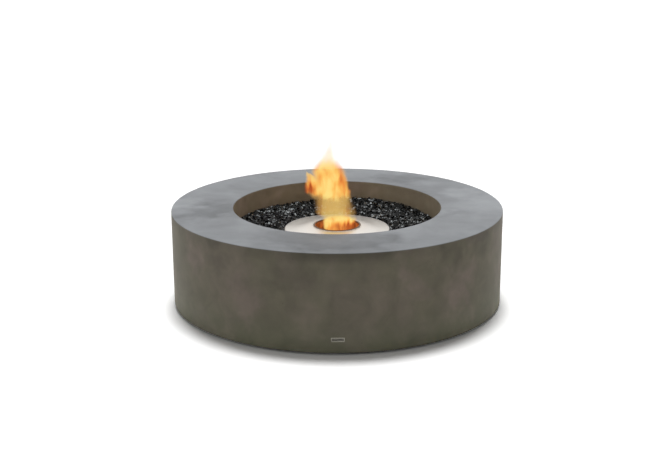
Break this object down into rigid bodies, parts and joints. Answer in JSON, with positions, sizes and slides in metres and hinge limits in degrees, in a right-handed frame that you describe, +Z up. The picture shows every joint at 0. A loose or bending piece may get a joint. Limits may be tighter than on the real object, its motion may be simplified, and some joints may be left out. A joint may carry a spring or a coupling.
{
  "type": "fire pit table",
  "caption": "Low round cast-concrete fire table with a recessed bowl of crushed black glass, a lift-out stainless burner and screw-adjusted feet.",
  "frame": {"origin": "centre of the round footprint, on the floor", "axes": "+Z up, -Y is the front, +X is to the right when seen from the front"},
  "size_m": [0.9999, 1, 0.288],
  "materials": {
    "concrete": "matt cast concrete",
    "insert_steel": "zinc plated",
    "fibre_pad": "pressed heat-resistant fibre",
    "tray_steel": "black heat-resistant coating",
    "black_glass": "broken, glossy",
    "burner_steel": "satin stainless",
    "sole_rubber": "matt"
  },
  "bodies": {
    "table": {"concrete_shell": "concrete", "foot_sockets": "insert_steel", "ledge_pads": "fibre_pad"},
    "tray": {"tray_pan": "tray_steel", "tray_well": "tray_steel", "glass_bed": "black_glass"},
    "burner": {"burner_top_plate": "burner_steel", "burner_mouth_collar": "burner_steel", "burner_tank": "burner_steel", "burner_jacket": "burner_steel", "burner_spacers": "burner_steel", "burner_gasket": "fibre_pad"},
    "ring": {"efficiency_ring": "burner_steel"},
    "foot_1": {"foot_1_base": "insert_steel", "foot_1_sole": "sole_rubber"},
    "foot_1_stem": {"foot_1_screw": "insert_steel"},
    "foot_2": {"foot_2_base": "insert_steel", "foot_2_sole": "sole_rubber"},
    "foot_2_stem": {"foot_2_screw": "insert_steel"},
    "foot_3": {"foot_3_base": "insert_steel", "foot_3_sole": "sole_rubber"},
    "foot_3_stem": {"foot_3_screw": "insert_steel"},
    "foot_4": {"foot_4_base": "insert_steel", "foot_4_sole": "sole_rubber"},
    "foot_4_stem": {"foot_4_screw": "insert_steel"}
  },
  "joints": [
    {"name": "tray_lift", "type": "slide", "parent": "table", "child": "tray", "axis": [0, 0, 1], "range_m": [0, 0.215]},
    {"name": "burner_lift", "type": "slide", "parent": "tray", "child": "burner", "axis": [0, 0, 1], "range_m": [0, 0.16]},
    {"name": "ring_lift", "type": "slide", "parent": "burner", "child": "ring", "axis": [0, 0, 1], "range_m": [0, 0.05]},
    {"name": "foot_1_height", "type": "slide", "parent": "table", "child": "foot_1", "axis": [0, 0, -1], "range_m": [0, 0.015]},
    {"name": "foot_1_turn", "type": "hinge", "parent": "foot_1", "child": "foot_1_stem", "pos_m": [0.30052, 0.30052, 0.02], "axis": [0, 0, -1], "range_deg": [0, 3600]},
    {"name": "foot_2_height", "type": "slide", "parent": "table", "child": "foot_2", "axis": [0, 0, -1], "range_m": [0, 0.015]},
    {"name": "foot_2_turn", "type": "hinge", "parent": "foot_2", "child": "foot_2_stem", "pos_m": [-0.30052, 0.30052, 0.02], "axis": [0, 0, -1], "range_deg": [0, 3600]},
    {"name": "foot_3_height", "type": "slide", "parent": "table", "child": "foot_3", "axis": [0, 0, -1], "range_m": [0, 0.015]},
    {"name": "foot_3_turn", "type": "hinge", "parent": "foot_3", "child": "foot_3_stem", "pos_m": [-0.30052, -0.30052, 0.02], "axis": [0, 0, -1], "range_deg": [0, 3600]},
    {"name": "foot_4_height", "type": "slide", "parent": "table", "child": "foot_4", "axis": [0, 0, -1], "range_m": [0, 0.015]},
    {"name": "foot_4_turn", "type": "hinge", "parent": "foot_4", "child": "foot_4_stem", "pos_m": [0.30052, -0.30052, 0.02], "axis": [0, 0, -1], "range_deg": [0, 3600]}
  ],
  "couplings": [
    {"joint": "foot_1_turn", "follows": "foot_1_height", "rad_per_m": 4188.8},
    {"joint": "foot_2_turn", "follows": "foot_2_height", "rad_per_m": 4188.8},
    {"joint": "foot_3_turn", "follows": "foot_3_height", "rad_per_m": 4188.8},
    {"joint": "foot_4_turn", "follows": "foot_4_height", "rad_per_m": 4188.8}
  ]
}
